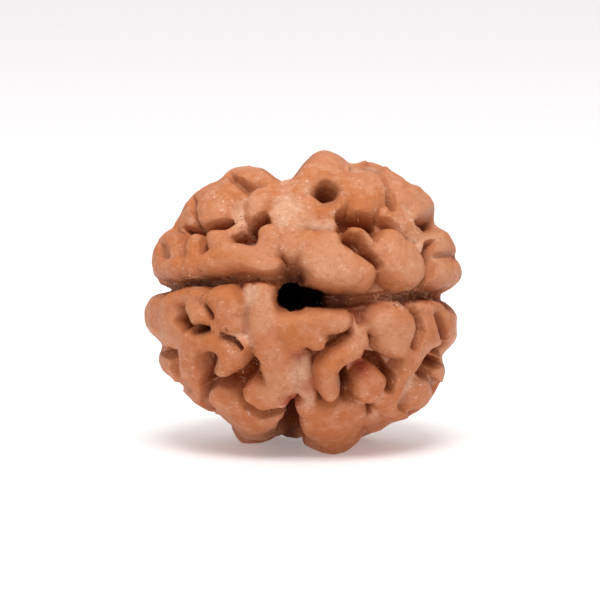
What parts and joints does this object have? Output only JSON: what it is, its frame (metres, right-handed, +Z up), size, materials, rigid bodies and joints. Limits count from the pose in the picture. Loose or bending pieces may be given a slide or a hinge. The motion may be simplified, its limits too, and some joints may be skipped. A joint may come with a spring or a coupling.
{
  "type": "rudraksha bead",
  "caption": "Two mukhi rudraksha: a ridged, slightly flattened seed stone drilled from front to back, used as a prayer bead.",
  "frame": {"origin": "middle of the bead's footprint, on the surface that it rests on", "axes": "+Z up, +X along the width that the two mukhi lines divide, +Y along the drilled hole and away from the better face"},
  "size_m": [0.0188, 0.0172, 0.0177],
  "materials": {
    "rudraksha_stone": "matte"
  },
  "bodies": {
    "root": {"bead": "rudraksha_stone"}
  },
  "joints": []
}
